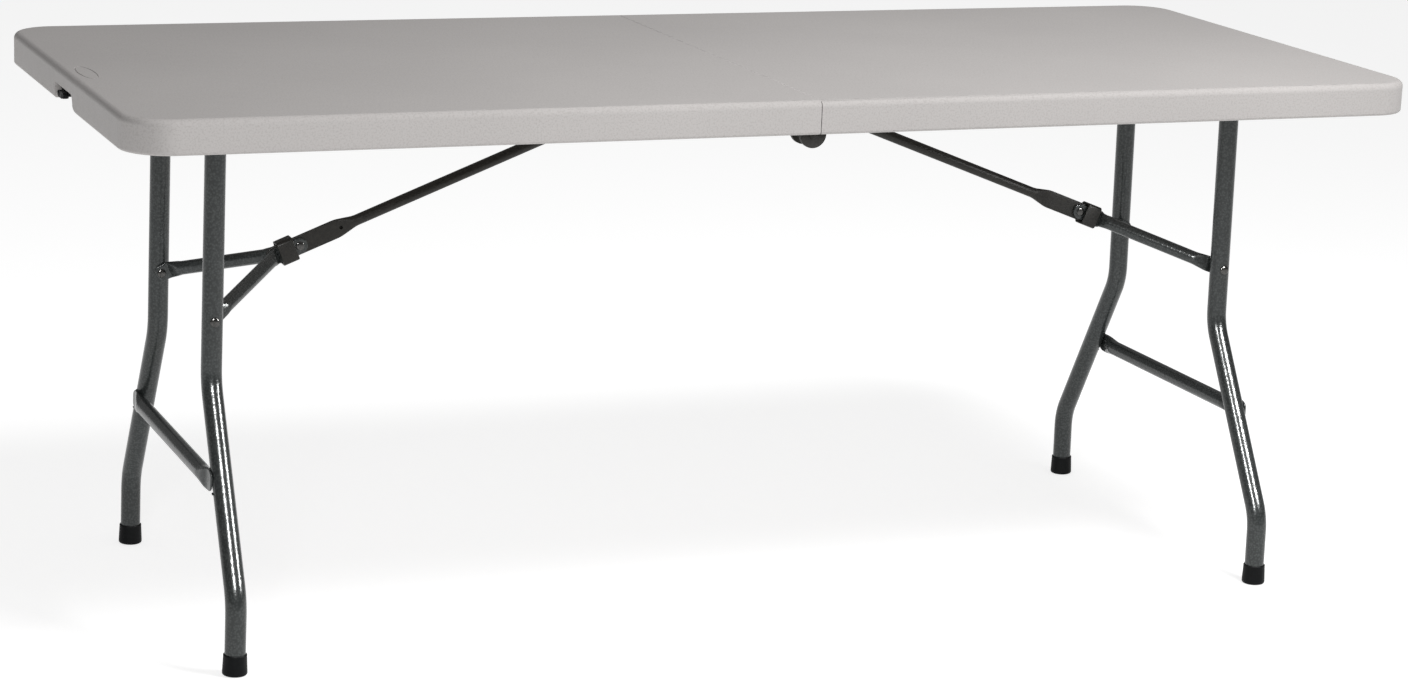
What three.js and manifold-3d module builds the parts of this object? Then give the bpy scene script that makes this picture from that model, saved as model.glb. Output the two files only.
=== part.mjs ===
// Six-foot bi-fold banquet table: two moulded top halves hinged at the middle, a folding steel
// leg frame under each end, and a locking brace from each frame to the middle of the table.
// Millimetres. +X runs along the table to the right end, +Y to the back edge, +Z up.
// The origin is on the floor, under the middle of the top.
import * as THREE from 'three';
import { mergeVertices } from 'three/addons/utils/BufferGeometryUtils.js';
import Module from 'manifold-3d';

const wasm = await Module();
wasm.setup();

// Driving dimensions: the top
const TOP_LENGTH = 1829;
const TOP_WIDTH = 762;
const TOP_HEIGHT = 743;
const RIM_DEPTH = 45;
const RIM_WIDTH = 26;
const SEAM_RIM_WIDTH = 22;
const SEAM_GAP = 0.8;
const DECK_THICKNESS = 13;
const CORNER_RADIUS = 62;
const TOP_EDGE_RADIUS = 9;
const BOTTOM_EDGE_RADIUS = 4;

// Driving dimensions: the leg frames
const LEG_RADIUS = 13.9;
const TUBE_WALL = 1.4;
const LEG_LEAN = THREE.MathUtils.degToRad(0.74);
const LEG_PIVOT_X = 747.8;
const LEG_PIVOT_Z = 716;
const LEG_TOP_Y = 150.6;
const LEG_FOOT_Y = 300.4;
const UPPER_BEND = 364;
const LOWER_BEND = 617;
const BEND_RADIUS = 75;
const PIVOT_TUBE_RADIUS = 11;
const CROSSBAR_RADIUS = 11;
const CROSSBAR_DOWN = 480;
const CROSSBAR_OUT = 13.5;
const FOOT_RADIUS = 16.5;
const FOOT_HEIGHT = 28;

// Driving dimensions: the braces. The knee is placed so that the brace folds flat with the legs.
const BRACE_PIVOT_X = 36;
const BRACE_PIVOT_Z = 714;
const BRACE_RIVET_DOWN = 281;
const LEG_FOLD = THREE.MathUtils.degToRad(89.6);
const BRACE_ROD_RADIUS = 7.5;
const STRUT_RADIUS = 9.5;
const STRUT_THICKNESS = 4;
const RING_LENGTH = 23;
const RING_FROM_KNEE = 18.5;

// Driving dimensions: the centre hinges
const HINGE_Z = 694.4;
const HINGE_LOBE_RADIUS = 18.6;
const HINGE_PIN_RADIUS = 4;
const RAIL_Y = 338.25;
const RAIL_STAGGER = 1.75;
const RAIL_WIDTH = 27;
const RAIL_END_X = 806;

// Clearance between pieces that touch
const GAP = 0.3;

const HALF_LENGTH = TOP_LENGTH / 2;
const HALF_WIDTH = TOP_WIDTH / 2;
const PANEL_BOTTOM = TOP_HEIGHT - RIM_DEPTH;
const UNDERSIDE = TOP_HEIGHT - DECK_THICKNESS;
const CHANNEL_TOP = UNDERSIDE + 6.5;
const CHANNEL_HALF_WIDTH = 24;
const NOTCH_WALL_Y = 50;

const LOOKS = {
  plastic: { color: 0xb4b0ac, roughness: 0.6, metalness: 0 },
  coatedSteel: { color: 0x4c4d4b, roughness: 0.45, metalness: 0.3 },
  darkSteel: { color: 0x2b2a27, roughness: 0.5, metalness: 0.3 },
  blackPlastic: { color: 0x141414, roughness: 0.6, metalness: 0 },
  zinc: { color: 0xb4b4b0, roughness: 0.35, metalness: 0.9 },
};

// ---- Helpers ----

function piece(parent, name, geometry, look) {
  const mesh = new THREE.Mesh(geometry, new THREE.MeshStandardMaterial(LOOKS[look]));
  mesh.name = name;
  parent.add(mesh);
  return mesh;
}

function solidOf(geometry) {
  const bare = geometry.clone();
  bare.deleteAttribute('normal');
  bare.deleteAttribute('uv');
  const merged = mergeVertices(bare, 1e-4);
  return new wasm.Manifold(new wasm.Mesh({
    numProp: 3,
    vertProperties: new Float32Array(merged.getAttribute('position').array),
    triVerts: new Uint32Array(merged.index.array),
  }));
}

function geometryOf(solid) {
  const mesh = solid.getMesh();
  const geometry = new THREE.BufferGeometry();
  geometry.setAttribute('position', new THREE.BufferAttribute(mesh.vertProperties, 3));
  geometry.setIndex(new THREE.BufferAttribute(mesh.triVerts, 1));
  geometry.computeVertexNormals();
  return geometry;
}

function cut(geometry, ...tools) {
  return geometryOf(tools.reduce((left, tool) => left.subtract(solidOf(tool)), solidOf(geometry)));
}

function join(geometry, ...others) {
  return geometryOf(others.reduce((whole, other) => whole.add(solidOf(other)), solidOf(geometry)));
}

function block([x0, x1], [y0, y1], [z0, z1]) {
  const geometry = new THREE.BoxGeometry(x1 - x0, y1 - y0, z1 - z0);
  return geometry.translate((x0 + x1) / 2, (y0 + y1) / 2, (z0 + z1) / 2);
}

// A cylinder whose axis runs along Y, at (x, z)
function rodAlongY(radius, [y0, y1], x = 0, z = 0, sides = 12) {
  const geometry = new THREE.CylinderGeometry(radius, radius, y1 - y0, sides);
  return geometry.translate(x, (y0 + y1) / 2, z);
}

// A cylinder whose axis runs along X, at (y, z)
function rodAlongX(radius, [x0, x1], y, z, sides = 12) {
  const geometry = new THREE.CylinderGeometry(radius, radius, x1 - x0, sides);
  return geometry.rotateZ(Math.PI / 2).translate((x0 + x1) / 2, y, z);
}

// A shape drawn in (y, z), extruded along X
function extrudeAlongX(shape, [x0, x1], curveSegments = 6) {
  const geometry = new THREE.ExtrudeGeometry(shape, { depth: x1 - x0, bevelEnabled: false, curveSegments });
  const basis = new THREE.Matrix4().makeBasis(
    new THREE.Vector3(0, 1, 0),
    new THREE.Vector3(0, 0, 1),
    new THREE.Vector3(1, 0, 0),
  );
  return geometry.applyMatrix4(basis).translate(x0, 0, 0);
}

// A shape drawn in (x, z), extruded along Y
function extrudeAlongY(shape, [y0, y1], curveSegments = 6) {
  const geometry = new THREE.ExtrudeGeometry(shape, { depth: y1 - y0, bevelEnabled: false, curveSegments });
  const basis = new THREE.Matrix4().makeBasis(
    new THREE.Vector3(1, 0, 0),
    new THREE.Vector3(0, 0, 1),
    new THREE.Vector3(0, -1, 0),
  );
  return geometry.applyMatrix4(basis).translate(0, y1, 0);
}

function polygon(points) {
  return new THREE.Shape(points.map(([a, b]) => new THREE.Vector2(a, b)));
}

function roundedRectangle(halfA, halfB, radius) {
  const shape = new THREE.Shape();
  shape.moveTo(halfA, -halfB + radius);
  shape.absarc(halfA - radius, halfB - radius, radius, 0, Math.PI / 2);
  shape.absarc(-halfA + radius, halfB - radius, radius, Math.PI / 2, Math.PI);
  shape.absarc(-halfA + radius, -halfB + radius, radius, Math.PI, 1.5 * Math.PI);
  shape.absarc(halfA - radius, -halfB + radius, radius, 1.5 * Math.PI, 2 * Math.PI);
  return shape;
}

// A domed rivet on the Y axis: its shank runs from 0 to length, its head beyond that
function rivet(shankRadius, length, headRadius, headHeight, sides = 10) {
  const profile = [
    [0, 0],
    [shankRadius, 0],
    [shankRadius, length],
    [headRadius, length],
    [headRadius * 0.92, length + headHeight * 0.45],
    [headRadius * 0.6, length + headHeight * 0.85],
    [0, length + headHeight],
  ];
  return new THREE.LatheGeometry(profile.map(([r, y]) => new THREE.Vector2(r, y)), sides);
}

// A centre line in the YZ plane made of straight runs joined by arcs. Its stations are the
// ends of the straight runs and the points along each arc, so that straight runs stay one step.
class BentLine extends THREE.Curve {
  constructor(corners, radius, arcSteps = 3) {
    super();
    this.stations = [];
    const points = corners.map(([y, z]) => new THREE.Vector3(0, y, z));
    const first = points[1].clone().sub(points[0]).normalize();
    this.stations.push({ point: points[0], tangent: first });
    for (let i = 1; i < points.length - 1; i++) {
      const arriving = points[i].clone().sub(points[i - 1]).normalize();
      const leaving = points[i + 1].clone().sub(points[i]).normalize();
      const bend = arriving.angleTo(leaving);
      const inward = leaving.clone().sub(arriving).normalize();
      const centre = points[i].clone().addScaledVector(inward, radius / Math.cos(bend / 2));
      const axis = arriving.clone().cross(leaving).normalize();
      const spoke = points[i].clone().addScaledVector(arriving, -radius * Math.tan(bend / 2)).sub(centre);
      for (let step = 0; step <= arcSteps; step++) {
        const turn = bend * step / arcSteps;
        this.stations.push({
          point: spoke.clone().applyAxisAngle(axis, turn).add(centre),
          tangent: arriving.clone().applyAxisAngle(axis, turn),
        });
      }
    }
    const last = points[points.length - 1];
    const end = last.clone().sub(points[points.length - 2]).normalize();
    this.stations.push({ point: last, tangent: end });
  }

  getPoint(t, target = new THREE.Vector3()) {
    const place = t * (this.stations.length - 1);
    const index = Math.min(Math.floor(place), this.stations.length - 2);
    return target.lerpVectors(this.stations[index].point, this.stations[index + 1].point, place - index);
  }

  getTangent(t, target = new THREE.Vector3()) {
    return target.copy(this.stations[Math.round(t * (this.stations.length - 1))].tangent);
  }

  getUtoTmapping(u) {
    return u;
  }
}

function tubeAlong(line, radius, sides = 12) {
  const section = new THREE.Shape().absarc(0, 0, radius, 0, 2 * Math.PI);
  section.holes.push(new THREE.Path().absarc(0, 0, radius - TUBE_WALL, 0, 2 * Math.PI, true));
  return new THREE.ExtrudeGeometry(section, {
    extrudePath: line,
    steps: line.stations.length - 1,
    curveSegments: sides / 2,
  });
}

// A bar whose section changes along its length, as a tube does where its end is pressed flat.
// Each station gives the centre, the half width, the half thickness and how square the section is
// (2 is round). The thickness lies along `thin`.
function formedBar(stations, thin, sides = 12) {
  const rows = stations.length - 1;
  const bar = new THREE.CylinderGeometry(1, 1, 1, sides, rows);
  const position = bar.getAttribute('position');
  const frames = stations.map(({ at }, i) => {
    const before = stations[Math.max(i - 1, 0)].at;
    const after = stations[Math.min(i + 1, rows)].at;
    const along = after.clone().sub(before).normalize();
    const thickness = thin.clone().addScaledVector(along, -thin.dot(along)).normalize();
    return { along, thickness, width: along.clone().cross(thickness) };
  });
  for (let i = 0; i < position.count; i++) {
    const row = Math.round((position.getY(i) + 0.5) * rows);
    const { at, halfWidth, halfThickness, square } = stations[row];
    const squared = (value) => Math.sign(value) * Math.abs(value) ** (2 / square);
    const point = at.clone()
      .addScaledVector(frames[row].thickness, squared(position.getX(i)) * halfThickness)
      .addScaledVector(frames[row].width, -squared(position.getZ(i)) * halfWidth);
    position.setXYZ(i, point.x, point.y, point.z);
  }
  return bar;
}

// ---- The top ----

// Plan of one half, drawn as the left half: square at the seam, round at the two outer corners
function halfPlan(inset, seamX) {
  const outerX = -HALF_LENGTH + inset;
  const edgeY = HALF_WIDTH - inset;
  const radius = CORNER_RADIUS - inset;
  const plan = new THREE.Shape();
  plan.moveTo(seamX, -edgeY);
  plan.lineTo(seamX, edgeY);
  plan.absarc(outerX + radius, edgeY - radius, radius, Math.PI / 2, Math.PI);
  plan.absarc(outerX + radius, -edgeY + radius, radius, Math.PI, 1.5 * Math.PI);
  return plan;
}

function slab(plan, [z0, z1], edgeRadius, bevelSegments) {
  const geometry = new THREE.ExtrudeGeometry(plan, {
    depth: z1 - z0 - 2 * edgeRadius,
    bevelEnabled: edgeRadius > 0,
    bevelThickness: edgeRadius,
    bevelSize: edgeRadius,
    bevelOffset: -edgeRadius,
    bevelSegments,
    curveSegments: 6,
  });
  return geometry.translate(0, 0, z0 + edgeRadius);
}

// The hand notch in the outer end of the rim, drawn in (y, height above the rim's bottom). It has
// an upright wall on the back side, where the latch is, and sweeps down on the front side.
function notchOutline() {
  const shape = new THREE.Shape();
  shape.moveTo(-108, -6);
  shape.lineTo(-108, 0);
  shape.quadraticCurveTo(-66, 0, -60, 8);
  shape.quadraticCurveTo(-57, 22, -48, 22);
  shape.lineTo(NOTCH_WALL_Y - 6, 22);
  shape.quadraticCurveTo(NOTCH_WALL_Y, 22, NOTCH_WALL_Y, 16);
  shape.lineTo(NOTCH_WALL_Y, -6);
  return shape;
}

function panelGeometry() {
  const pastSeam = 40;
  const body = slab(halfPlan(0, pastSeam), [PANEL_BOTTOM, TOP_HEIGHT], TOP_EDGE_RADIUS, 3);
  const foot = slab(halfPlan(0, pastSeam), [PANEL_BOTTOM, PANEL_BOTTOM + 24], BOTTOM_EDGE_RADIUS, 1);
  const beyondSeam = block([-SEAM_GAP / 2, 100], [-500, 500], [600, 800]);
  const recess = slab(halfPlan(RIM_WIDTH, -SEAM_RIM_WIDTH), [PANEL_BOTTOM - 20, UNDERSIDE], 0, 1);
  const braceChannel = block(
    [-665, -SEAM_RIM_WIDTH - 2],
    [-CHANNEL_HALF_WIDTH, CHANNEL_HALF_WIDTH],
    [PANEL_BOTTOM, CHANNEL_TOP],
  );
  const hingePockets = [-1, 1].map((edge) => block(
    [-120, 20],
    [edge * RAIL_Y - 25.5, edge * RAIL_Y + 25.5],
    [PANEL_BOTTOM - 20, UNDERSIDE],
  ));
  const notch = extrudeAlongX(notchOutline(), [-HALF_LENGTH - 10, -HALF_LENGTH + RIM_WIDTH + 5], 4);
  notch.translate(0, 0, PANEL_BOTTOM);
  return cut(join(body, foot), beyondSeam, recess, braceChannel, ...hingePockets, notch);
}

// ---- Rails and centre hinges ----

// A steel channel under the deck, open to the outside; the pivot tube passes through its web
function railGeometry(edge, centreY) {
  const half = RAIL_WIDTH / 2;
  const wall = 2;
  const [bottom, top] = [PANEL_BOTTOM + 2, UNDERSIDE - GAP];
  const section = polygon([
    [-half, bottom],
    [half, bottom],
    [half, top],
    [-half, top],
    [-half, top - wall],
    [half - wall, top - wall],
    [half - wall, bottom + wall],
    [-half + wall, bottom + wall],
    [-half + wall, bottom + 4 * wall],
    [-half, bottom + 4 * wall],
  ]);
  const rail = extrudeAlongX(section, [-RAIL_END_X, -26]);
  const placed = (edge < 0 ? rail : rail.rotateX(Math.PI).translate(0, 0, bottom + top));
  const drilled = placed.translate(0, edge * centreY, 0);
  const pivotHole = rodAlongY(PIVOT_TUBE_RADIUS + 0.5, [-400, 400], -LEG_PIVOT_X, LEG_PIVOT_Z);
  return cut(drilled, pivotHole);
}

// Two ears joined by a web under the deck; each ear ends in a round lobe on the hinge pin
function hingeLeafGeometry(edge, centreY) {
  const ear = new THREE.Shape();
  const [earEnd, earTop] = [-112, UNDERSIDE - GAP];
  ear.moveTo(earEnd, earTop);
  ear.lineTo(earEnd, 706);
  ear.lineTo(earEnd + 8, 701);
  ear.lineTo(-24, 701);
  ear.absarc(0, HINGE_Z, HINGE_LOBE_RADIUS, 0.95 * Math.PI, 2.05 * Math.PI);
  ear.lineTo(14, 712);
  ear.lineTo(-4, earTop);
  const ears = [[-17, -14], [14, 17]].map(([y0, y1]) => extrudeAlongY(ear, [y0, y1], 12));
  const web = block([-24, -14], [-15, 15], [earTop - 3, earTop]);
  const pinHole = rodAlongY(HINGE_PIN_RADIUS + 0.3, [-30, 30], 0, HINGE_Z);
  return cut(join(ears[0], ears[1], web), pinHole).translate(0, edge * centreY, 0);
}

function hingePinGeometry() {
  const pin = rivet(HINGE_PIN_RADIUS, 40, 6, 2.5);
  const collar = rodAlongY(6, [0.4, 1.9]);
  return join(pin, collar);
}

// ---- Leg frames, drawn as the left one ----
// A frame is built hanging from its pivot: local z runs up the legs and local -x faces outwards.

// Distance from the pivot to the bottom of the feet, so that the leaning feet just touch the floor
function legReach() {
  const soleRadius = FOOT_RADIUS - 3;
  return (LEG_PIVOT_Z - soleRadius * Math.sin(LEG_LEAN)) / Math.cos(LEG_LEAN);
}

function legGeometry(edge) {
  const end = -legReach() + 4 + GAP;
  const corners = [
    [edge * LEG_TOP_Y, 0],
    [edge * LEG_TOP_Y, -UPPER_BEND],
    [edge * LEG_FOOT_Y, -LOWER_BEND],
    [edge * LEG_FOOT_Y, end],
  ];
  const tube = tubeAlong(new BentLine(corners, BEND_RADIUS), LEG_RADIUS);
  const saddle = rodAlongY(PIVOT_TUBE_RADIUS + GAP, [-400, 400]);
  const rivetHole = rodAlongY(4.3, [edge * LEG_TOP_Y - 30, edge * LEG_TOP_Y + 30], 0, -BRACE_RIVET_DOWN);
  return cut(tube, saddle, rivetHole);
}

function pivotTubeGeometry() {
  const line = new BentLine([[-335, 0], [335, 0]], 0);
  return tubeAlong(line, PIVOT_TUBE_RADIUS);
}

function crossbarGeometry() {
  const tabOut = LEG_RADIUS + GAP + 1.8;
  const half = [
    { y: 222, out: tabOut, halfWidth: 8, halfThickness: 1.8, square: 6 },
    { y: 218, out: tabOut, halfWidth: 13.5, halfThickness: 1.8, square: 6 },
    { y: 203, out: tabOut, halfWidth: 14.5, halfThickness: 1.8, square: 6 },
    { y: 188, out: 15, halfWidth: 13, halfThickness: 7, square: 2.6 },
    { y: 172, out: CROSSBAR_OUT, halfWidth: CROSSBAR_RADIUS, halfThickness: CROSSBAR_RADIUS, square: 2 },
  ];
  const mirrored = [...half].reverse().map((station) => ({ ...station, y: -station.y }));
  const stations = [...half, ...mirrored].map(({ y, out, ...section }) => (
    { at: new THREE.Vector3(-out, y, -CROSSBAR_DOWN), ...section }
  ));
  return formedBar(stations, new THREE.Vector3(1, 0, 0));
}

function footCapGeometry() {
  const bore = LEG_RADIUS + GAP;
  const profile = [
    [0, 0],
    [FOOT_RADIUS - 3, 0],
    [FOOT_RADIUS - 0.9, 0.9],
    [FOOT_RADIUS, 3],
    [FOOT_RADIUS - 1, FOOT_HEIGHT - 1],
    [FOOT_RADIUS - 1.6, FOOT_HEIGHT],
    [bore, FOOT_HEIGHT],
    [bore, 4],
    [0, 4],
  ];
  const cap = new THREE.LatheGeometry(profile.map(([r, z]) => new THREE.Vector2(r, z)), 16);
  return cap.rotateX(Math.PI / 2);
}

// ---- Braces, drawn for the left frame ----

function braceLayout() {
  const legPivot = new THREE.Vector2(-LEG_PIVOT_X, LEG_PIVOT_Z);
  const topPivot = new THREE.Vector2(-BRACE_PIVOT_X, BRACE_PIVOT_Z);
  const rivetAt = (fold) => {
    const heading = -Math.PI / 2 - LEG_LEAN + fold;
    const arm = new THREE.Vector2(Math.cos(heading), Math.sin(heading));
    return arm.multiplyScalar(BRACE_RIVET_DOWN).add(legPivot);
  };
  const open = topPivot.distanceTo(rivetAt(0));
  const folded = topPivot.distanceTo(rivetAt(LEG_FOLD));
  const strutLength = (open - folded) / 2;
  const down = rivetAt(0).sub(topPivot).normalize();
  return { strutLength, rodLength: open - strutLength, down, topPivot };
}

const BRACE = braceLayout();

// A brace is built along local x, with the knee at the local origin and the leg towards +x
function braceFrame() {
  const frame = new THREE.Group();
  const { topPivot, down, rodLength } = BRACE;
  frame.position.set(topPivot.x + down.x * rodLength, 0, topPivot.y + down.y * rodLength);
  frame.rotation.y = -Math.atan2(down.y, down.x);
  return frame;
}

function braceStation([x, y], halfWidth, halfThickness, square) {
  return { at: new THREE.Vector3(x, y, 0), halfWidth, halfThickness, square };
}

function upperLinkGeometry() {
  const top = -BRACE.rodLength;
  const stations = [
    braceStation([top - 9, 0], 5, 2.4, 6),
    braceStation([top - 5, 0], 8.5, 2.4, 6),
    braceStation([top + 22, 0], 9.5, 2.4, 6),
    braceStation([top + 44, 0], BRACE_ROD_RADIUS, BRACE_ROD_RADIUS, 2),
    braceStation([-82, 0], BRACE_ROD_RADIUS, BRACE_ROD_RADIUS, 2),
    braceStation([-57, 0], 13, 2.6, 6),
    braceStation([36, 0], 13, 2.4, 6),
    braceStation([43, 0], 11, 2.4, 6),
    braceStation([46, 0], 7, 2.4, 6),
  ];
  const holes = [
    rodAlongY(3.4, [-10, 10], top),
    rodAlongY(2.5, [-10, 10], -62),
    rodAlongY(4.3, [-10, 10]),
  ];
  return cut(formedBar(stations, new THREE.Vector3(0, 1, 0)), ...holes);
}

// Where the middle of a strut's tab lies, flat against the inside of the leg
const STRUT_TAB_Y = LEG_TOP_Y - LEG_RADIUS - GAP - STRUT_THICKNESS / 2;

function strutGeometry(edge) {
  const kneeY = 4.7;
  const flat = STRUT_THICKNESS / 2;
  const end = BRACE.strutLength;
  const stations = [
    braceStation([-10.5, edge * kneeY], 4, flat, 6),
    braceStation([-8, edge * kneeY], 8, flat, 6),
    braceStation([-2, edge * kneeY], 11, flat, 6),
    braceStation([34, edge * kneeY], 11, flat, 6),
    braceStation([46, edge * 16], STRUT_RADIUS, STRUT_RADIUS, 2),
    braceStation([end - 26, edge * 120], STRUT_RADIUS, STRUT_RADIUS, 2),
    braceStation([end - 12, edge * STRUT_TAB_Y], 11.5, flat, 6),
    braceStation([end + 3, edge * STRUT_TAB_Y], 11, flat, 6),
    braceStation([end + 6.5, edge * STRUT_TAB_Y], 8, flat, 6),
    braceStation([end + 8, edge * STRUT_TAB_Y], 4, flat, 6),
  ];
  const holes = [
    rodAlongY(4.3, [-10, 10]),
    rodAlongY(4.3, [edge * STRUT_TAB_Y - 10, edge * STRUT_TAB_Y + 10], end),
  ];
  return cut(formedBar(stations, new THREE.Vector3(0, 1, 0)), ...holes);
}

function lockRingGeometry() {
  const section = roundedRectangle(11.7, 16.5, 5);
  section.holes.push(roundedRectangle(9.3, 14, 2.5));
  const ring = extrudeAlongX(section, [-RING_LENGTH / 2, RING_LENGTH / 2], 3);
  return ring.translate(RING_FROM_KNEE, 0, 0);
}

function kneeRivetGeometry() {
  const reach = 7;
  const rivetBody = rivet(4, 2 * reach, 6, 1.7).translate(0, -reach, 0);
  const tail = rivet(4, 0.2, 6, 1.7).rotateX(Math.PI).translate(0, -reach + 0.2, 0);
  return join(rivetBody, tail);
}

function braceBracketGeometry() {
  const ceiling = CHANNEL_TOP - GAP;
  const ear = new THREE.Shape();
  ear.moveTo(-BRACE_PIVOT_X - 22, ceiling);
  ear.lineTo(-BRACE_PIVOT_X - 9, BRACE_PIVOT_Z);
  ear.absarc(-BRACE_PIVOT_X, BRACE_PIVOT_Z, 9, Math.PI, 2 * Math.PI);
  ear.lineTo(-BRACE_PIVOT_X + 9, ceiling);
  const ears = [[-5.8, -3.3], [3.3, 5.8]].map((span) => extrudeAlongY(ear, span, 8));
  const plate = block([-BRACE_PIVOT_X - 34, -BRACE_PIVOT_X + 9], [-17, 17], [ceiling - 2.5, ceiling]);
  const pinHole = rodAlongY(3.4, [-20, 20], -BRACE_PIVOT_X, BRACE_PIVOT_Z);
  return cut(join(ears[0], ears[1], plate), pinHole);
}

// ---- End latch ----

const LATCH_Z = PANEL_BOTTOM + 8;
const LATCH_PIVOT_Y = 40;
const LATCH_FACE_X = -HALF_LENGTH + 9;

// A black block that stands out from the notch's wall at wallY, with an upright flange round it
function latchBlock(wallY) {
  const span = [30, wallY - GAP];
  const body = block([LATCH_FACE_X, LATCH_FACE_X + 15], span, [LATCH_Z - 3.7, LATCH_Z + 3.7]);
  const flange = block([LATCH_FACE_X, LATCH_FACE_X + 5.6], span, [LATCH_Z - 6.2, LATCH_Z + 6.2]);
  return join(body, flange);
}

function latchBarGeometry() {
  const bore = rodAlongX(2.5, [LATCH_FACE_X - 5, LATCH_FACE_X + 30], LATCH_PIVOT_Y, LATCH_Z);
  return cut(latchBlock(NOTCH_WALL_Y), bore);
}

// At the other end the notch's sweep is on this side, and its wall begins a little further out
function keeperGeometry() {
  const peg = rodAlongX(2.6, [LATCH_FACE_X - 7, LATCH_FACE_X + 5], LATCH_PIVOT_Y, LATCH_Z);
  return join(latchBlock(57), peg);
}

// The hook lies along -y from its pivot; it swings down to catch the keeper's peg
function latchHookGeometry() {
  const reach = 2 * (LATCH_Z - HINGE_Z);
  const hook = new THREE.Shape();
  hook.moveTo(0, 4.6);
  hook.lineTo(-reach - 3, 4.6);
  hook.absarc(-reach - 3, 0.6, 4, Math.PI / 2, 1.5 * Math.PI);
  hook.absarc(-reach, 0, 3, Math.PI * 1.4, Math.PI * 0.1, true);
  hook.lineTo(-reach + 6, -4.6);
  hook.lineTo(0, -4.6);
  hook.absarc(0, 0, 4.6, -Math.PI / 2, Math.PI / 2);
  const lever = extrudeAlongX(hook, [LATCH_FACE_X - 6.3, LATCH_FACE_X - GAP], 5);
  lever.translate(0, LATCH_PIVOT_Y, LATCH_Z);
  const bore = rodAlongX(2.5, [LATCH_FACE_X - 10, LATCH_FACE_X + 5], LATCH_PIVOT_Y, LATCH_Z);
  return cut(lever, bore);
}

function latchPinGeometry() {
  const pin = rivet(2.2, 16, 3.8, 1.6).rotateZ(Math.PI / 2);
  return pin.translate(LATCH_FACE_X + 9.5, LATCH_PIVOT_Y, LATCH_Z);
}

// ---- Assembly ----

// Everything that is alike at both ends. It is drawn as the left end; the right end is the same
// set turned half a turn about the table's upright axis, which swaps its front and back.
function endSet(side) {
  const set = new THREE.Group();
  const edges = side === 'left' ? { front: -1, back: 1 } : { front: 1, back: -1 };
  const railY = side === 'left' ? RAIL_Y + RAIL_STAGGER : RAIL_Y - RAIL_STAGGER;
  set.rotation.z = side === 'left' ? 0 : Math.PI;

  piece(set, `${side}_panel`, panelGeometry(), 'plastic');
  piece(set, `${side}_brace_bracket`, braceBracketGeometry(), 'darkSteel');
  const bracePin = rivet(3, 12.2, 5, 2).translate(-BRACE_PIVOT_X, -6.1, BRACE_PIVOT_Z);
  piece(set, `${side}_brace_pin`, bracePin, 'zinc');

  const legs = new THREE.Group();
  legs.position.set(-LEG_PIVOT_X, 0, LEG_PIVOT_Z);
  legs.rotation.y = LEG_LEAN;
  set.add(legs);
  piece(legs, `${side}_pivot_tube`, pivotTubeGeometry(), 'coatedSteel');
  piece(legs, `${side}_crossbar`, crossbarGeometry(), 'coatedSteel');

  const brace = braceFrame();
  set.add(brace);
  piece(brace, `${side}_upper_link`, upperLinkGeometry(), 'darkSteel');
  piece(brace, `${side}_lock_ring`, lockRingGeometry(), 'darkSteel');
  piece(brace, `${side}_knee_rivet`, kneeRivetGeometry(), 'zinc');

  for (const [name, edge] of Object.entries(edges)) {
    piece(set, `${side}_rail_${name}`, railGeometry(edge, railY), 'darkSteel');
    piece(set, `${side}_hinge_leaf_${name}`, hingeLeafGeometry(edge, railY), 'darkSteel');
    piece(legs, `${side}_leg_${name}`, legGeometry(edge), 'coatedSteel');
    const foot = piece(legs, `${side}_foot_cap_${name}`, footCapGeometry(), 'blackPlastic');
    foot.position.set(0, edge * LEG_FOOT_Y, -legReach());
    piece(brace, `${side}_strut_${name}`, strutGeometry(edge), 'coatedSteel');

    const legRivet = piece(legs, `${side}_leg_rivet_${name}`, rivet(3.9, 27.6, 6.5, 2.6), 'zinc');
    legRivet.position.set(0, edge * (LEG_TOP_Y - 13.4), -BRACE_RIVET_DOWN);
    legRivet.rotation.x = edge > 0 ? 0 : Math.PI;
    const tabRivet = piece(brace, `${side}_strut_rivet_${name}`, rivet(3.9, 3.8, 6, 2.4), 'zinc');
    tabRivet.position.set(BRACE.strutLength, edge * (STRUT_TAB_Y + 1.8), 0);
    tabRivet.rotation.x = edge > 0 ? Math.PI : 0;
  }
  return set;
}

const table = new THREE.Group();
table.add(endSet('left'));
table.add(endSet('right'));

for (const [name, edge] of [['front', -1], ['back', 1]]) {
  const pin = piece(table, `hinge_pin_${name}`, hingePinGeometry(), 'darkSteel');
  pin.position.set(0, edge * (RAIL_Y - 21), HINGE_Z);
  pin.rotation.x = edge > 0 ? 0 : Math.PI;
}

piece(table, 'latch_bar', latchBarGeometry(), 'blackPlastic');
piece(table, 'latch_hook', latchHookGeometry(), 'blackPlastic');
piece(table, 'latch_pin', latchPinGeometry(), 'zinc');
const keeper = piece(table, 'latch_keeper', keeperGeometry().scale(-1, 1, 1), 'blackPlastic');
keeper.geometry.index.array.reverse();

export default table;
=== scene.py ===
"""The looks of a six-foot bi-fold banquet table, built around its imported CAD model.

Shapes are drawn in millimetres and turned into metres as each piece is made. Everything that is
alike at both ends is drawn once, as the left end, and turned half a turn for the right end.
"""
import math

import bmesh
import bpy
from mathutils import Matrix, Vector, noise


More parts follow.
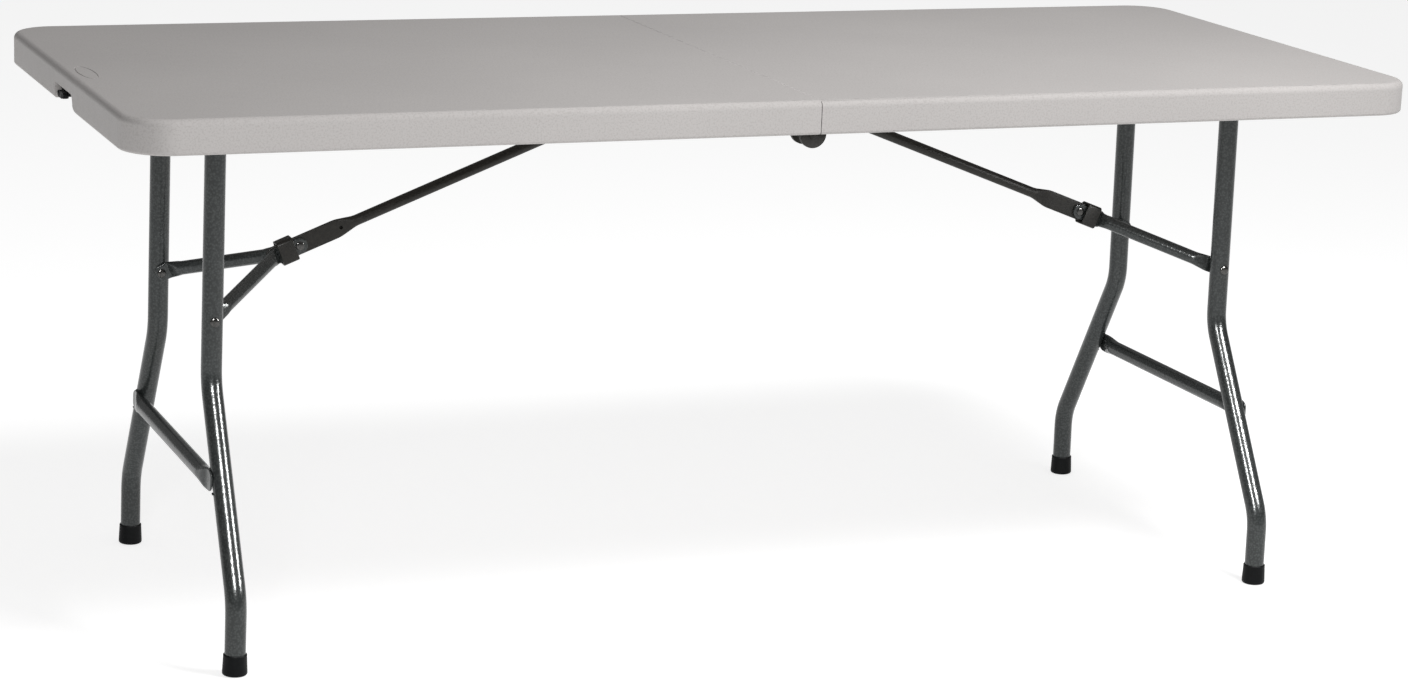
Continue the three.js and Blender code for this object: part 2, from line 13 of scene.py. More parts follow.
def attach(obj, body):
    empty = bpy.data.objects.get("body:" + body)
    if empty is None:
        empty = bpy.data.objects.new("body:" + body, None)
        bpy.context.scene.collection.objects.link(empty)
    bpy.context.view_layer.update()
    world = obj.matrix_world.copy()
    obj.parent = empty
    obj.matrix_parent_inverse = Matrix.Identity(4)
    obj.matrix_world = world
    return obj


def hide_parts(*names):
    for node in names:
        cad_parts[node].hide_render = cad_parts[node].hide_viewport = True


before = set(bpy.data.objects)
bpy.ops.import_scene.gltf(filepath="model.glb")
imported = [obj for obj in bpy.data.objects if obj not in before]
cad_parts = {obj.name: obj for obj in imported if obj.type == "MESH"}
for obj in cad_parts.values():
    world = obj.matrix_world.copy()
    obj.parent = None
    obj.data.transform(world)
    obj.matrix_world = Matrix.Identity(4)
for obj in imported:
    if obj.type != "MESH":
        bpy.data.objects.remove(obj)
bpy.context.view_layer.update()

MM = 0.001
SHARP_ANGLE = math.radians(35)
X_AXIS = Vector((1, 0, 0))
Y_AXIS = Vector((0, 1, 0))
Z_AXIS = Vector((0, 0, 1))

# The top
HALF_LENGTH = 914.5
HALF_WIDTH = 381.0
TOP_Z = 743.0
RIM_BOTTOM = 698.0
UNDERSIDE = 730.0
CHANNEL_TOP = 736.5
RIM_WIDTH = 26.0
SEAM_RIM_WIDTH = 22.0
HALF_SEAM = 0.55
CORNER_RADIUS = 62.0
TOP_EDGE_RADIUS = 9.0

# The leg frames
LEG_RADIUS = 13.9
LEG_LEAN = math.radians(0.74)
LEG_PIVOT_X = 747.8
LEG_PIVOT_Z = 716.0
LEG_TOP_Y = 150.6
LEG_FOOT_Y = 300.4
UPPER_BEND = 364.0
LOWER_BEND = 617.0
BEND_RADIUS = 75.0
PIVOT_TUBE_RADIUS = 11.0
CROSSBAR_RADIUS = 11.0
CROSSBAR_DOWN = 480.0
CROSSBAR_OUT = 13.5
FOOT_RADIUS = 16.5
FOOT_HEIGHT = 28.0

# The braces
BRACE_PIVOT_X = 36.0
BRACE_PIVOT_Z = 714.0
BRACE_RIVET_DOWN = 281.0
LEG_FOLD = math.radians(89.6)
BRACE_ROD_RADIUS = 7.5
STRUT_RADIUS = 9.5
STRUT_TAB_Y = LEG_TOP_Y - LEG_RADIUS - 0.3 - 2

# The centre hinges and rails
HINGE_Z = 694.4
HINGE_LOBE_RADIUS = 18.6
RAIL_Y = 338.25
RAIL_STAGGER = 1.75
RAIL_END_X = 806.0
RAIL_TOP = UNDERSIDE - 0.3
RAIL_BOTTOM = RIM_BOTTOM + 2.0

# The end latch
LATCH_Z = RIM_BOTTOM + 8
LATCH_FACE_X = -HALF_LENGTH + 9.0
LATCH_PIVOT_Y = 40.0
NOTCH_WALL_Y = 50.0
NOTCH_FAR_WALL_Y = 57.0

# Each end's turn, the local sign of its front and back edges, and its rails' shift off RAIL_Y
SIDES = {
    "left": {
        "turn": Matrix.Identity(4),
        "edges": {"front": -1, "back": 1},
        "stagger": RAIL_STAGGER,
    },
    "right": {
        "turn": Matrix.Rotation(math.pi, 4, "Z"),
        "edges": {"front": 1, "back": -1},
        "stagger": -RAIL_STAGGER,
    },
}


# ---- Camera, light and floor ----

CAMERA_PLACE = (-1.8404, -4.4656, 1.4978)
CAMERA_YAW = math.radians(22.44)
CAMERA_DOWN = math.radians(13.596)
CAMERA_ROLL = math.radians(2.283)
CAMERA_LENS = 89.0

SKY_STRENGTH = 0.22
FLOOR_SIZE = 60
FLOOR_DROP = 0.0005
FLOOR_TONE = 0.5
FLOOR_GLOW = 0.76

# Every piece but the two panels; the reflectors light nothing else
METAL_PARTS = bpy.data.collections.new("metal_parts")


def add_camera():
    forward = Vector((
        math.sin(CAMERA_YAW) * math.cos(CAMERA_DOWN),
        math.cos(CAMERA_YAW) * math.cos(CAMERA_DOWN),
        -math.sin(CAMERA_DOWN),
    ))
    level = Vector((math.cos(CAMERA_YAW), -math.sin(CAMERA_YAW), 0))
    upright = level.cross(forward)
    right = level * math.cos(CAMERA_ROLL) + upright * math.sin(CAMERA_ROLL)
    up = upright * math.cos(CAMERA_ROLL) - level * math.sin(CAMERA_ROLL)
    data = bpy.data.cameras.new("camera")
    data.lens = CAMERA_LENS
    data.sensor_width = 36
    camera = bpy.data.objects.new("camera", data)
    basis = Matrix((right, up, -forward)).transposed().to_4x4()
    camera.matrix_world = Matrix.Translation(CAMERA_PLACE) @ basis
    bpy.context.scene.collection.objects.link(camera)
    bpy.context.scene.camera = camera


def add_softbox(name, place, target, size, power):
    """A rectangular lamp aimed at the target, unseen by the camera."""
    data = bpy.data.lights.new(name, "AREA")
    data.energy = power
    data.shape = "RECTANGLE"
    data.size, data.size_y = size
    lamp = bpy.data.objects.new(name, data)
    aim = (Vector(target) - Vector(place)).to_track_quat("-Z", "Y")
    lamp.matrix_world = Matrix.Translation(place) @ aim.to_matrix().to_4x4()
    lamp.visible_camera = False
    bpy.context.scene.collection.objects.link(lamp)
    return lamp


def add_reflector(name, place, target, size, power):
    """A narrow light that only shows as a streak in the gloss of the metal parts."""
    lamp = add_softbox(name, place, target, size, power)
    lamp.visible_diffuse = False
    lamp.light_linking.receiver_collection = METAL_PARTS


def add_stage():
    world = bpy.data.worlds.new("world")
    world.use_nodes = True
    sky = world.node_tree.nodes["Background"]
    sky.inputs["Color"].default_value = (1, 1, 1, 1)
    sky.inputs["Strength"].default_value = SKY_STRENGTH
    bpy.context.scene.world = world
    bpy.context.scene.view_settings.view_transform = "Standard"

    bpy.ops.mesh.primitive_plane_add(size=FLOOR_SIZE, location=(0, 0, -FLOOR_DROP))
    floor = bpy.context.object
    floor.name = "floor"
    material = bpy.data.materials.new("floor")
    material.use_nodes = True
    shader = material.node_tree.nodes["Principled BSDF"]
    shader.inputs["Base Color"].default_value = (FLOOR_TONE, FLOOR_TONE, FLOOR_TONE, 1)
    shader.inputs["Roughness"].default_value = 0.9
    shader.inputs["Emission Color"].default_value = (1, 1, 1, 1)
    shader.inputs["Emission Strength"].default_value = FLOOR_GLOW
    floor.data.materials.append(material)

    for name, place, target, size, power in (
        ("key", (1.0, -1.4, 2.9), (0, 0, 0.7), 0.9, 94),
        ("fill", (-1.8, -3.0, 1.65), (-0.3, 0, 0.6), 0.6, 21),
    ):
        add_softbox(name, place, target, (size, size), power).visible_glossy = False
    add_reflector("right_reflector", (0.95, -1.13, 1.25), (0, -0.2, 0.3), (0.3, 0.8), 85)
    add_reflector("left_reflector", (-1.2, -2.1, 1.75), (0, -0.2, 0.4), (0.35, 0.8), 120)


# ---- Materials ----

class Shader:
    """A Principled material with short ways to add procedural nodes in object coordinates."""

    def __init__(self, name, roughness, metallic=0.0, specular=0.5):
        self.material = bpy.data.materials.new(name)
        self.material.use_nodes = True
        self.tree = self.material.node_tree
        self.surface = self.tree.nodes["Principled BSDF"]
        self.surface.inputs["Roughness"].default_value = roughness
        self.surface.inputs["Metallic"].default_value = metallic
        self.surface.inputs["Specular IOR Level"].default_value = specular
        self.place = self.tree.nodes.new("ShaderNodeTexCoord").outputs["Object"]

    def noise(self, scale, detail, roughness=0.5):
        node = self.tree.nodes.new("ShaderNodeTexNoise")
        node.inputs["Scale"].default_value = scale
        node.inputs["Detail"].default_value = detail
        node.inputs["Roughness"].default_value = roughness
        self.tree.links.new(self.place, node.inputs["Vector"])
        return node.outputs["Fac"]

    def cells(self, scale, smoothness):
        node = self.tree.nodes.new("ShaderNodeTexVoronoi")
        node.feature = "SMOOTH_F1"
        node.inputs["Scale"].default_value = scale
        node.inputs["Smoothness"].default_value = smoothness
        self.tree.links.new(self.place, node.inputs["Vector"])
        return node.outputs["Distance"]

    def ramp(self, value, low, high):
        """Colours by value: low and high are each (position, colour)."""
        node = self.tree.nodes.new("ShaderNodeValToRGB")
        for element, (position, colour) in zip(node.color_ramp.elements, (low, high)):
            element.position = position
            element.color = (*colour, 1)
        self.tree.links.new(value, node.inputs["Fac"])
        return node.outputs["Color"]

    def mix(self, share, first, second, blend="MIX"):
        node = self.tree.nodes.new("ShaderNodeMix")
        node.data_type = "RGBA"
        node.blend_type = blend
        node.inputs["Factor"].default_value = share
        self.tree.links.new(first, node.inputs["A"])
        self.tree.links.new(second, node.inputs["B"])
        return node.outputs["Result"]

    def colour(self, output):
        self.tree.links.new(output, self.surface.inputs["Base Color"])

    def roughness(self, value, low, high):
        node = self.tree.nodes.new("ShaderNodeMapRange")
        node.inputs["To Min"].default_value = low
        node.inputs["To Max"].default_value = high
        self.tree.links.new(value, node.inputs["Value"])
        self.tree.links.new(node.outputs["Result"], self.surface.inputs["Roughness"])

    def bump(self, *layers):
        """Each layer is (height, strength, depth in metres); later layers lie on the earlier ones."""
        normal = None
        for height, strength, depth in layers:
            node = self.tree.nodes.new("ShaderNodeBump")
            node.inputs["Strength"].default_value = strength
            node.inputs["Distance"].default_value = depth
            self.tree.links.new(height, node.inputs["Height"])
            if normal:
                self.tree.links.new(normal, node.inputs["Normal"])
            normal = node.outputs["Normal"]
        self.tree.links.new(normal, self.surface.inputs["Normal"])


def moulded_plastic():
    """Pale warm grey polyethylene: a fine pebbled skin, faint flecks and slow changes of tone."""
    shader = Shader("moulded_plastic", 0.5, specular=0.35)
    darker, lighter = (0.405, 0.388, 0.380), (0.430, 0.412, 0.403)
    tone = shader.ramp(shader.noise(2.5, 3), (0.3, darker), (0.7, lighter))
    fleck = shader.ramp(shader.noise(420, 2, 0.6), (0.40, (0.72, 0.71, 0.70)), (0.50, (1, 1, 1)))
    grain = shader.ramp(shader.noise(1500, 2), (0.3, (0.95, 0.95, 0.95)), (0.7, (1, 1, 1)))
    flecked = shader.mix(0.4, tone, shader.mix(1.0, tone, fleck, "MULTIPLY"))
    shader.colour(shader.mix(1.0, flecked, grain, "MULTIPLY"))
    shader.roughness(shader.noise(60, 3), 0.44, 0.58)
    shader.bump((shader.cells(520, 0.6), 0.14, 0.0003), (shader.noise(1400, 2), 0.08, 0.0002))
    return shader.material


def hammered_coat():
    """Dark grey hammered powder coat: small rounded cells with a metallic glint."""
    shader = Shader("hammered_coat", 0.28, metallic=0.2, specular=0.45)
    cells = shader.cells(330, 0.7)
    base = shader.ramp(cells, (0.1, (0.062, 0.069, 0.069)), (0.6, (0.029, 0.033, 0.033)))
    cloud = shader.ramp(shader.noise(9, 3), (0.3, (0.88, 0.87, 0.85)), (0.7, (1, 1, 1)))
    shader.colour(shader.mix(1.0, base, cloud, "MULTIPLY"))
    shader.roughness(shader.noise(700, 2), 0.16, 0.30)
    shader.bump((cells, 0.4, 0.0004), (shader.noise(900, 2), 0.1, 0.0002))
    return shader.material


def dark_coat():
    """Near black powder coat with a slight orange peel and a brownish cast."""
    shader = Shader("dark_coat", 0.42, specular=0.26)
    darker, lighter = (0.008, 0.0072, 0.0055), (0.017, 0.0155, 0.012)
    shader.colour(shader.ramp(shader.noise(240, 3), (0.3, darker), (0.7, lighter)))
    shader.roughness(shader.noise(80, 3), 0.36, 0.52)
    shader.bump((shader.noise(420, 2), 0.35, 0.0004))
    return shader.material


def black_plastic():
    shader = Shader("black_plastic", 0.5, specular=0.1)
    darker, lighter = (0.0012, 0.0016, 0.002), (0.003, 0.0036, 0.0042)
    shader.colour(shader.ramp(shader.noise(300, 3), (0.3, darker), (0.7, lighter)))
    shader.roughness(shader.noise(50, 3), 0.42, 0.6)
    shader.bump((shader.noise(1600, 2), 0.2, 0.0002))
    return shader.material


def rivet_steel():
    shader = Shader("rivet_steel", 0.3, metallic=1.0)
    darker, lighter = (0.05, 0.05, 0.048), (0.10, 0.098, 0.095)
    shader.colour(shader.ramp(shader.noise(500, 3), (0.3, darker), (0.7, lighter)))
    shader.roughness(shader.noise(900, 2), 0.12, 0.22)
    shader.bump((shader.noise(700, 2), 0.15, 0.0002))
    return shader.material


MATERIALS = {
    "panel": moulded_plastic(),
    "coated_steel": hammered_coat(),
    "dark_steel": dark_coat(),
    "black_plastic": black_plastic(),
    "rivet_steel": rivet_steel(),
}


# ---- Mesh helpers, in millimetres ----

def mesh_object(name, bm):
    """A mesh object in metres from a bmesh in millimetres, smooth but for its sharp edges."""
    bmesh.ops.recalc_face_normals(bm, faces=bm.faces)
    bm.transform(Matrix.Scale(MM, 4))
    mesh = bpy.data.meshes.new(name)
    bm.to_mesh(mesh)
    bm.free()
    mesh.shade_smooth()
    mesh.set_sharp_from_angle(angle=SHARP_ANGLE)
    obj = bpy.data.objects.new(name, mesh)
    bpy.context.scene.collection.objects.link(obj)
    return obj


def apply_modifiers(obj):
    graph = bpy.context.evaluated_depsgraph_get()
    mesh = bpy.data.meshes.new_from_object(obj.evaluated_get(graph))
    obj.modifiers.clear()
    obj.data = mesh


def subtract(obj, *tools):
    """Cuts the tool objects out of obj and removes them."""
    for tool in tools:
        modifier = obj.modifiers.new("cut", "BOOLEAN")
        modifier.operation = "DIFFERENCE"
        modifier.solver = "EXACT"
        modifier.object = tool
    apply_modifiers(obj)
    for tool in tools:
        bpy.data.objects.remove(tool)
    obj.data.shade_smooth()
    obj.data.set_sharp_from_angle(angle=SHARP_ANGLE)


def soften(obj, width, segments=2):
    """Rounds the sharp edges of obj by `width` millimetres and evens out its shading."""
    bevel = obj.modifiers.new("soften", "BEVEL")
    bevel.width = width * MM
    bevel.segments = segments
    bevel.limit_method = "ANGLE"
    bevel.angle_limit = SHARP_ANGLE
    bevel.use_clamp_overlap = True
    apply_modifiers(obj)
    obj.data.shade_smooth()
    obj.data.set_sharp_from_angle(angle=SHARP_ANGLE)
    even_shading(obj)


def even_shading(obj):
    """Lets large flat faces keep their own normals."""
    weighted = obj.modifiers.new("even", "WEIGHTED_NORMAL")
    weighted.keep_sharp = True
    apply_modifiers(obj)


def finish_piece(obj, slot, body, *nodes):
    obj.data.materials.clear()
    obj.data.materials.append(MATERIALS[slot])
    if slot != "panel":
        METAL_PARTS.objects.link(obj)
    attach(obj, body)
    if nodes:
        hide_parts(*nodes)
    return obj


def place(obj, matrix):
    """Moves obj's mesh by a matrix whose translation is in millimetres."""
    metres = matrix.copy()
    metres.translation = matrix.translation * MM
    obj.data.transform(metres)
    return obj


def quarter_turn(point, axis, sign=1):
    """A quarter turn about an axis, followed by a move to the point."""
    return Matrix.Translation(point) @ Matrix.Rotation(sign * math.pi / 2, 4, axis)


def copy_of(obj, name):
    twin = bpy.data.objects.new(name, obj.data.copy())
    bpy.context.scene.collection.objects.link(twin)
    return twin


def merged(name, parts):
    """Joins loose objects, which don't touch, into one piece."""
    bm = bmesh.new()
    for part in parts:
        bm.from_mesh(part.data)
        bpy.data.objects.remove(part)
    mesh = bpy.data.meshes.new(name)
    bm.to_mesh(mesh)
    bm.free()
    obj = bpy.data.objects.new(name, mesh)
    bpy.context.scene.collection.objects.link(obj)
    return obj


def loft(rings, closed=True):
    """A skin over rings of equal point counts, closed by a face at each end."""
    bm = bmesh.new()
    rows = [[bm.verts.new(point) for point in ring] for ring in rings]
    for low, high in zip(rows, rows[1:]):
        for i in range(len(low)):
            j = (i + 1) % len(low)
            bm.faces.new((low[i], low[j], high[j], high[i]))
    if closed:
        bm.faces.new(list(reversed(rows[0])))
        bm.faces.new(rows[-1])
    return bm


def revolve(profile, sides=40):
    """A solid turned about Z from (radius, z) points that start and end on the axis."""
    bm = bmesh.new()
    rows = []
    for radius, z in profile:
        if radius < 1e-6:
            rows.append([bm.verts.new((0, 0, z))])
        else:
            turns = [2 * math.pi * i / sides for i in range(sides)]
            rows.append([bm.verts.new((radius * math.cos(a), radius * math.sin(a), z)) for a in turns])
    for low, high in zip(rows, rows[1:]):
        for i in range(sides):
            j = (i + 1) % sides
            corners = [low[i % len(low)], low[j % len(low)], high[j % len(high)], high[i % len(high)]]
            bm.faces.new(list(dict.fromkeys(corners)))
    return bm


def prism(outline, low, high, to_world):
    """The (a, b) outline extruded from low to high; to_world maps (a, b, depth) to a point."""
    rings = [[to_world(a, b, depth) for a, b in outline] for depth in (low, high)]
    return loft(rings)


def in_xz(a, b, depth):
    return Vector((a, depth, b))


def in_yz(a, b, depth):
    return Vector((depth, a, b))


def arc(centre, radius, start, end, steps):
    """Points on an arc, angles in degrees."""
    turns = [math.radians(start + (end - start) * i / steps) for i in range(steps + 1)]
    return [(centre[0] + radius * math.cos(a), centre[1] + radius * math.sin(a)) for a in turns]


def box_mesh(x, y, z):
    outline = [(x[0], z[0]), (x[1], z[0]), (x[1], z[1]), (x[0], z[1])]
    return prism(outline, y[0], y[1], in_xz)


def ring_about(centre, along, radius, sides, thin=X_AXIS):
    side = (thin - along * thin.dot(along)).normalized()
    across = along.cross(side)
    turns = [2 * math.pi * i / sides for i in range(sides)]
    return [centre + side * (radius * math.cos(a)) + across * (radius * math.sin(a)) for a in turns]


def bent_line(corners, radius, arc_steps=14):
    """Points and directions along straight runs in the YZ plane joined by arcs."""
    points = [Vector((0, y, z)) for y, z in corners]
    first = (points[1] - points[0]).normalized()
    stations = [(points[0], first)]
    for before, corner, after in zip(points, points[1:], points[2:]):
        arriving = (corner - before).normalized()
        leaving = (after - corner).normalized()
        bend = arriving.angle(leaving)
        centre = corner + (leaving - arriving).normalized() * (radius / math.cos(bend / 2))
        spoke = corner - arriving * (radius * math.tan(bend / 2)) - centre
        axis = arriving.cross(leaving).normalized()
        for step in range(arc_steps + 1):
            turn = Matrix.Rotation(bend * step / arc_steps, 3, axis)
            stations.append((turn @ spoke + centre, turn @ arriving))
    stations.append((points[-1], (points[-1] - points[-2]).normalized()))
    return stations


def tube(stations, radius, sides=40):
    return loft([ring_about(point, along, radius, sides) for point, along in stations])


class Station:
    """One section of a formed bar: its centre, half width, half thickness and squareness."""

    def __init__(self, at, half_width, half_thickness, square):
        self.at = Vector(at)
        self.sizes = Vector((half_width, half_thickness, square))


def sampled(stations, blend):
    """Stations spread along the bar, close together near each given one, with corners rounded."""
    lengths = [0.0]
    for before, after in zip(stations, stations[1:]):
        lengths.append(lengths[-1] + (after.at - before.at).length)
    total = lengths[-1]

    def value(distance):
        for i in range(len(stations) - 1):
            if distance <= lengths[i + 1] or i == len(stations) - 2:
                share = (distance - lengths[i]) / (lengths[i + 1] - lengths[i])
                return (
                    stations[i].at.lerp(stations[i + 1].at, share),
                    stations[i].sizes.lerp(stations[i + 1].sizes, share),
                )

    marks = {0.0, total}
    for length in lengths:
        for step in range(-6, 7):
            mark = length + blend * step / 4
            if 0 < mark < total:
                marks.add(round(mark, 3))
    rows = []
    for mark in sorted(marks):
        reach = min(blend, mark, total - mark)
        spread = [value(mark + reach * step / 4) for step in range(-4, 5)]
        centre = sum((v[0] for v in spread), Vector()) / len(spread)
        sizes = sum((v[1] for v in spread), Vector()) / len(spread)
        if not rows or (centre - rows[-1][0]).length > 0.2:
            rows.append((centre, sizes))
    return rows


def formed_bar(stations, thin, blend=6.0, sides=40):
    """A bar whose section changes along its length, as a tube does where its end is pressed flat."""
    rows = sampled(stations, blend)
    rings = []
    for i, (centre, (half_width, half_thickness, square)) in enumerate(rows):
        along = (rows[min(i + 1, len(rows) - 1)][0] - rows[max(i - 1, 0)][0]).normalized()
        thickness = (thin - along * thin.dot(along)).normalized()
        width = along.cross(thickness)
        ring = []
        for step in range(sides):
            angle = 2 * math.pi * (step + 0.5) / sides
            a, b = math.cos(angle), math.sin(angle)
            a = math.copysign(abs(a) ** (2 / square), a) * half_thickness
            b = math.copysign(abs(b) ** (2 / square), b) * half_width
            ring.append(centre + thickness * a + width * b)
        rings.append(ring)
    return loft(rings)


def rivet(shank_radius, length, head_radius, head_height):
    """A rivet along +Z: a shank from 0 to length, then a low domed head with a soft rim."""
    rim = 0.4
    dome = head_height - rim
    profile = [(0, 0), (shank_radius, 0), (shank_radius, length), (head_radius - rim, length)]
    profile += [(head_radius, length + rim)]
    for step in range(1, 8):
        angle = math.pi / 2 * step / 8
        profile.append((head_radius * math.cos(angle), length + rim + dome * math.sin(angle)))
    profile.append((0, length + head_height))
    return revolve(profile)


def cross_drill(radius, half_length, point, segments=40):
    """A rod along Y, centred on the point, that cuts a round hole."""
    profile = [(0, -half_length), (radius, -half_length), (radius, half_length), (0, half_length)]
    return place(mesh_object("drill", revolve(profile, segments)), quarter_turn(point, "X"))


def pan_screw(name):
    """A pan head with a cross recess, its seat at z = 0 and its head below it."""
    profile = [(0, 0), (4.4, 0), (4.7, -0.5), (4.4, -1.4), (3.4, -2.0), (1.8, -2.3), (0, -2.35)]
    head = mesh_object(name, revolve(profile, 28))
    slots = [
        mesh_object("slot", box_mesh((-2.3, 2.3), (-0.45, 0.45), (-3, -1.3))),
        mesh_object("slot", box_mesh((-0.45, 0.45), (-2.3, 2.3), (-3, -1.3))),
    ]
    subtract(head, *slots)
    return head


# ---- The top ----

def half_ring(outer_inset, seam_inset, z, corner_steps=20):
    """The outline of the left half at one height: square at the seam, round at the outer corners."""
    outer_x = -HALF_LENGTH + outer_inset
    edge_y = HALF_WIDTH - outer_inset
    seam_x = -HALF_SEAM - seam_inset
    radius = CORNER_RADIUS - outer_inset
    outline = [(seam_x, -edge_y), (seam_x, edge_y)]
    outline += arc((outer_x + radius, edge_y - radius), radius, 90, 180, corner_steps)
    outline += arc((outer_x + radius, -edge_y + radius), radius, 180, 270, corner_steps)
    return [Vector((x, y, z)) for x, y in outline]


def fillet(depth, radius):
    """How far a quarter round of `radius` stands in from its wall, `depth` below the face."""
    left = max(radius - depth, 0)
    return radius - math.sqrt(radius * radius - left * left)


def panel_body():
    seam_radius, lip_radius, inner_radius = 0.7, 4.0, 3.0
    rings = [half_ring(TOP_EDGE_RADIUS + 1.2, seam_radius + 1.2, TOP_Z)]
    for depth in (0, 0.06, 0.2, 0.45, 0.8, 1.25, 1.8, 2.6, 3.6, 4.8, 6.2, 7.6, 9.0):
        inset = fillet(depth, TOP_EDGE_RADIUS)
        rings.append(half_ring(inset, fillet(depth, seam_radius), TOP_Z - depth))
    for rise in (4.0, 2.6, 1.6, 0.9, 0.4, 0.1, 0):
        inset = fillet(rise, lip_radius)
        rings.append(half_ring(inset, min(inset, seam_radius), RIM_BOTTOM + rise))
    for rise in (0, 0.2, 0.8, 1.6, 3.0):
        inset = fillet(rise, inner_radius)
        rings.append(half_ring(RIM_WIDTH - inset, SEAM_RIM_WIDTH - inset, RIM_BOTTOM + rise))
    for depth in (3.0, 1.6, 0.8, 0.2, 0):
        inset = fillet(depth, inner_radius)
        rings.append(half_ring(RIM_WIDTH + inset, SEAM_RIM_WIDTH + inset, UNDERSIDE - depth))
    rings.append(half_ring(RIM_WIDTH + 6, SEAM_RIM_WIDTH + 6, UNDERSIDE))
    return mesh_object("panel", loft(rings))


def quadratic(start, control, end, steps=8):
    points = []
    for step in range(1, steps + 1):
        t = step / steps
        a, b, c = (1 - t) ** 2, 2 * t * (1 - t), t * t
        points.append(tuple(a * p + b * q + c * r for p, q, r in zip(start, control, end)))
    return points


def notch_tool():
    wall = NOTCH_WALL_Y
    outline = [(-108, -6), (-108, 0)]
    outline += quadratic((-108, 0), (-66, 0), (-60, 8))
    outline += quadratic((-60, 8), (-57, 22), (-48, 22))
    outline += [(wall - 6, 22)]
    outline += quadratic((wall - 6, 22), (wall, 22), (wall, 16))
    outline += [(wall, 3)]
    outline += quadratic((wall, 3), (wall, 0), (wall + 3, 0), 5)
    outline += [(wall + 3, -6)]
    outline = [(y, RIM_BOTTOM + z) for y, z in outline]
    return mesh_object("notch", prism(outline, -HALF_LENGTH - 10, -HALF_LENGTH + RIM_WIDTH + 5, in_yz))


def pressed_dimples():
    """The rows of shallow oval dimples that tie the two walls of the moulding together."""
    bm = bmesh.new()
    for column in range(15):
        for row in range(-5, 6):
            x = -868 + column * 58
            y = row * 56
            if abs(y) < 40 or abs(x + LEG_PIVOT_X) < 10:
                continue
            shape = Matrix.Translation((x, y, UNDERSIDE)) @ Matrix.Diagonal((17, 9, 5, 1))
            bmesh.ops.create_uvsphere(bm, u_segments=20, v_segments=10, radius=1, matrix=shape)
    return mesh_object("dimples", bm)


def oval_groove():
    """The ring that cuts a plain oval groove into the top near the left end."""
    x, y, half_x, half_y, depth = -888.0, -22.0, 11.0, 48.0, 0.5
    rings = []
    for step in range(72):
        angle = 2 * math.pi * step / 72
        out = Vector((math.cos(angle), math.sin(angle), 0))
        centre = Vector((x + half_x * out.x, y + half_y * out.y, TOP_Z))
        rings.append([
            centre + out * (0.9 * math.cos(turn)) + Z_AXIS * (depth * 1.6 * math.sin(turn))
            for turn in (2 * math.pi * i / 10 for i in range(10))
        ])
    rings.append(rings[0])
    bm = loft(rings, closed=False)
    bmesh.ops.remove_doubles(bm, verts=bm.verts, dist=1e-4)
    return mesh_object("oval", bm)


def rounded_block(name, x, y, z, radius, segments=3):
    obj = mesh_object(name, box_mesh(x, y, z))
    soften(obj, radius, segments)
    return obj


def build_panels():
    body = panel_body()
    tools = [
        rounded_block("channel", (-665, -SEAM_RIM_WIDTH - 2), (-24, 24), (RIM_BOTTOM + 4, CHANNEL_TOP), 2),
        notch_tool(),
        pressed_dimples(),
    ]
    for edge in (-1, 1):
        span = (edge * RAIL_Y - 25.5, edge * RAIL_Y + 25.5)
        tools.append(mesh_object("pocket", box_mesh((-120, 20), span, (RIM_BOTTOM - 20, UNDERSIDE))))
    subtract(body, *tools)
    right = copy_of(body, "right_top_half")
    left = body
    left.name = "left_top_half"
    subtract(left, oval_groove())
    for side, obj in (("left", left), ("right", right)):
        even_shading(obj)
        place(obj, SIDES[side]["turn"])
        finish_piece(obj, "panel", f"{side}_half", f"{side}_panel")


# ---- Rails, hinges and brackets under the top ----

def rail_outline():
    """The channel's section in (y, z) for the front rail: its web is on the inside."""
    half, wall, bend = 13.5, 2.0, 2.6
    outer = [(-half, RAIL_BOTTOM + 8), (-half, RAIL_BOTTOM + bend)]
    outer += arc((-half + bend, RAIL_BOTTOM + bend), bend, 180, 270, 4)
    outer += arc((half - bend, RAIL_BOTTOM + bend), bend, 270, 360, 4)
    outer += arc((half - bend, RAIL_TOP - bend), bend, 0, 90, 4)
    outer += [(-half, RAIL_TOP)]
    inner = [(-half, RAIL_TOP - wall)]
    inner += arc((half - bend, RAIL_TOP - bend), bend - wall, 90, 0, 3)
    inner += arc((half - bend, RAIL_BOTTOM + bend), bend - wall, 0, -90, 3)
    inner += arc((-half + bend, RAIL_BOTTOM + bend), bend - wall, 270, 180, 3)
    inner += [(-half + wall, RAIL_BOTTOM + 8)]
    return outer + inner


def build_rail(side, name, edge):
    centre_y = RAIL_Y + SIDES[side]["stagger"]
    mirror = Matrix.Diagonal((1, -edge, 1, 1))
    rail = mesh_object(f"{side}_rail_channel_{name}", prism(rail_outline(), -RAIL_END_X, -26, in_yz))
    bore_radius = PIVOT_TUBE_RADIUS + 0.6
    subtract(rail, cross_drill(bore_radius, 30, (-LEG_PIVOT_X, 0, LEG_PIVOT_Z)))
    turn = SIDES[side]["turn"] @ Matrix.Translation((0, edge * centre_y, 0)) @ mirror
    place(rail, turn)
    if edge > 0:
        rail.data.flip_normals()
    finish_piece(rail, "dark_steel", f"{side}_half", f"{side}_rail_{name}")

    screws = []
    for x in (-780, -640, -470, -300, -160):
        screw = copy_of(SCREW, "screw")
        spin = Matrix.Rotation(x * 0.37, 4, "Z")
        screws.append(place(screw, turn @ Matrix.Translation((x, 0, RAIL_BOTTOM)) @ spin))
    group = merged(f"{side}_rail_screws_{name}", screws)
    finish_piece(group, "rivet_steel", f"{side}_half")


def leaf_outline():
    outline = [(-104, 701), (-24, 701)]
    outline += arc((0, HINGE_Z), HINGE_LOBE_RADIUS, 171, 369, 36)
    outline += [(14, 712), (-4, RAIL_TOP), (-112, RAIL_TOP), (-112, 706)]
    return outline


